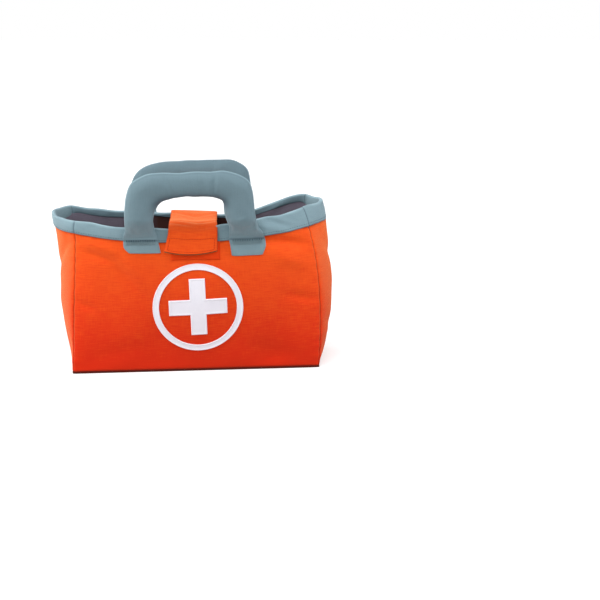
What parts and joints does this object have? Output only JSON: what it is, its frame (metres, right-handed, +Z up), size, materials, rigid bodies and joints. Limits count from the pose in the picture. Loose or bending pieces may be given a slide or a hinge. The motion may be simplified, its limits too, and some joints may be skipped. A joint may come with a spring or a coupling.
{
  "type": "toy doctor case",
  "caption": "Soft cloth toy doctor bag: open-topped, flat-based, with padded handles, a closing strap over its mouth and a plus in a ring on the front.",
  "frame": {"origin": "middle of the bag's overall box, on the surface that it stands on", "axes": "+X to the right along the bag's width as seen from the front, +Y from the front to the back, +Z up"},
  "size_m": [0.3452, 0.2066, 0.242],
  "materials": {
    "orange_canvas": "matt woven canvas",
    "grey_cotton": "matt cotton twill",
    "lining_cotton": "matt cotton",
    "white_felt": "soft felt with a sewn edge",
    "stuffing": "loose polyester fibre",
    "base_board": "matt sheet",
    "hook_tape": "stiff nylon hooks",
    "loop_tape": "soft nylon loops"
  },
  "bodies": {
    "bag": {"front_panel": "orange_canvas", "back_panel": "orange_canvas", "left_gusset": "orange_canvas", "right_gusset": "orange_canvas", "base_panel": "orange_canvas", "strap_anchor": "orange_canvas", "rim_band_front": "grey_cotton", "rim_band_back": "grey_cotton", "rim_band_left": "grey_cotton", "rim_band_right": "grey_cotton", "front_handle_left_tab": "grey_cotton", "front_handle_right_tab": "grey_cotton", "back_handle_left_tab": "grey_cotton", "back_handle_right_tab": "grey_cotton", "lining_front": "lining_cotton", "lining_back": "lining_cotton", "lining_left": "lining_cotton", "lining_right": "lining_cotton", "lining_base": "lining_cotton", "emblem_ring": "white_felt", "emblem_cross": "white_felt", "base_board": "base_board", "loop_patch": "loop_tape"},
    "front_handle": {"front_handle_cover": "grey_cotton", "front_handle_stuffing": "stuffing"},
    "back_handle": {"back_handle_cover": "grey_cotton", "back_handle_stuffing": "stuffing"},
    "strap": {"closure_strap": "orange_canvas"},
    "flap": {"closure_flap": "orange_canvas", "hook_patch": "hook_tape"}
  },
  "joints": [
    {"name": "front_handle_swing", "type": "hinge", "parent": "bag", "child": "front_handle", "pos_m": [0, -0.07294, 0.16416], "axis": [1, 0, 0], "range_deg": [-5, 105]},
    {"name": "back_handle_swing", "type": "hinge", "parent": "bag", "child": "back_handle", "pos_m": [0, 0.07096, 0.16449], "axis": [-1, 0, 0], "range_deg": [-5, 105]},
    {"name": "strap_lift", "type": "hinge", "parent": "bag", "child": "strap", "pos_m": [0.0025, 0.06909, 0.18172], "axis": [-1, 0, 0], "range_deg": [0, 85]},
    {"name": "flap_peel", "type": "hinge", "parent": "strap", "child": "flap", "pos_m": [-0.006, -0.07359, 0.18172], "axis": [-1, 0, 0], "range_deg": [0, 110]}
  ]
}
